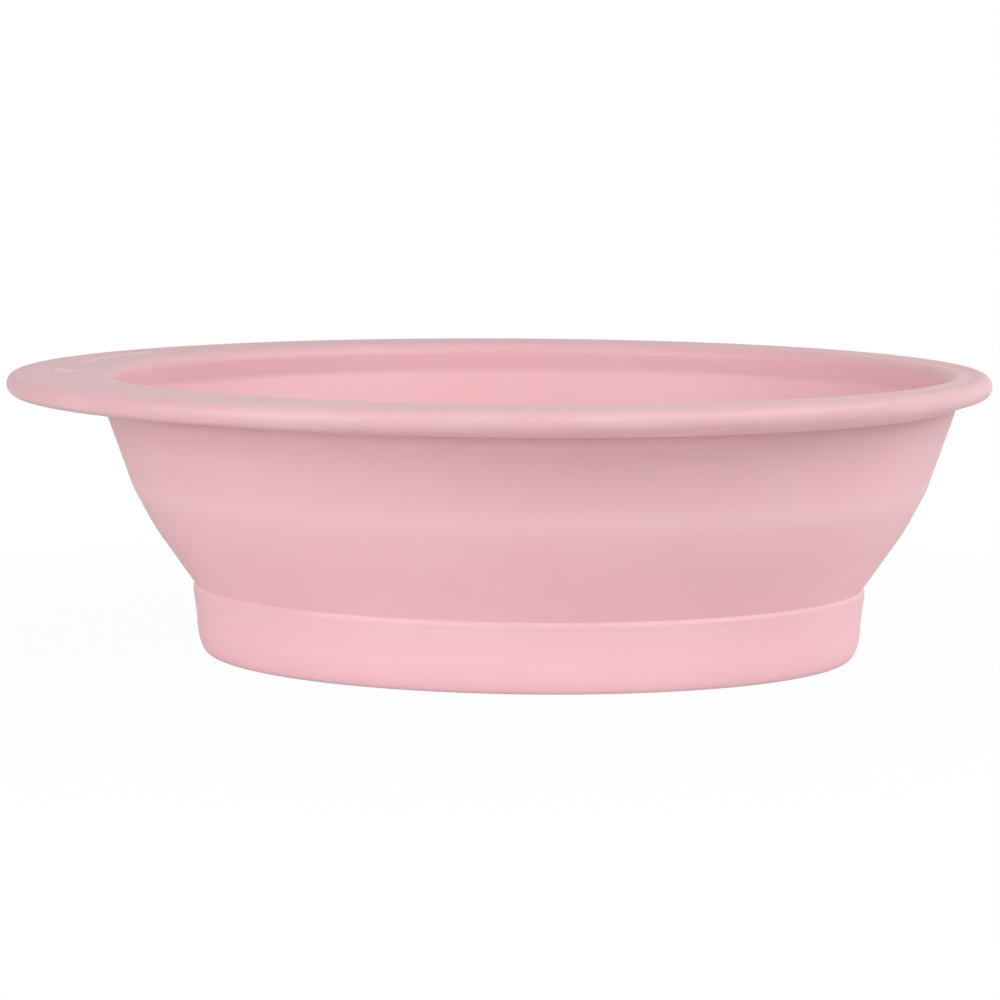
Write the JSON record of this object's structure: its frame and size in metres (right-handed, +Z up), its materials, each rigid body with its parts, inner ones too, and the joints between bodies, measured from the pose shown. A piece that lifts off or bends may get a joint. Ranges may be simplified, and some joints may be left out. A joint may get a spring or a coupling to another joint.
{
  "type": "collapsible pet bathtub",
  "caption": "Oval soft-walled pet bathtub with a wide flat rim, a hand tab at one end and a side wall that folds down over a shallow base.",
  "frame": {"origin": "on the floor, under the middle of the rim's outline (centre of the bounding box, bottom)", "axes": "+X along the length with the wide hand tab at -X, +Y across, +Z up"},
  "size_m": [0.45, 0.387, 0.13],
  "materials": {
    "soft_pink": "satin soft-moulded pink elastomer",
    "hinge_pink": "satin soft-moulded pink elastomer, thinned",
    "stiff_white": "natural moulded polypropylene",
    "grip_pink": "matt anti-slip rubber"
  },
  "bodies": {
    "base": {"base_cup": "soft_pink", "base_plate": "stiff_white", "floor_mat": "soft_pink", "foot_ring": "grip_pink", "lower_hinge": "hinge_pink"},
    "fold": {"fold_wall": "soft_pink"},
    "rim": {"rim_top_skin": "soft_pink", "rim_core": "stiff_white", "rim_under_skin": "soft_pink", "upper_wall": "soft_pink", "upper_hinge": "hinge_pink"}
  },
  "joints": [
    {"name": "collapse", "type": "slide", "parent": "base", "child": "rim", "axis": [0, 0, 1], "range_m": [-0.06, 0], "deforming": ["fold_wall", "upper_hinge", "lower_hinge"]},
    {"name": "wall_fold", "type": "slide", "parent": "base", "child": "fold", "axis": [0, 0, 1], "range_m": [-0.03, 0], "deforming": ["fold_wall"]}
  ],
  "couplings": [
    {"joint": "wall_fold", "follows": "collapse", "ratio": 0.5}
  ]
}
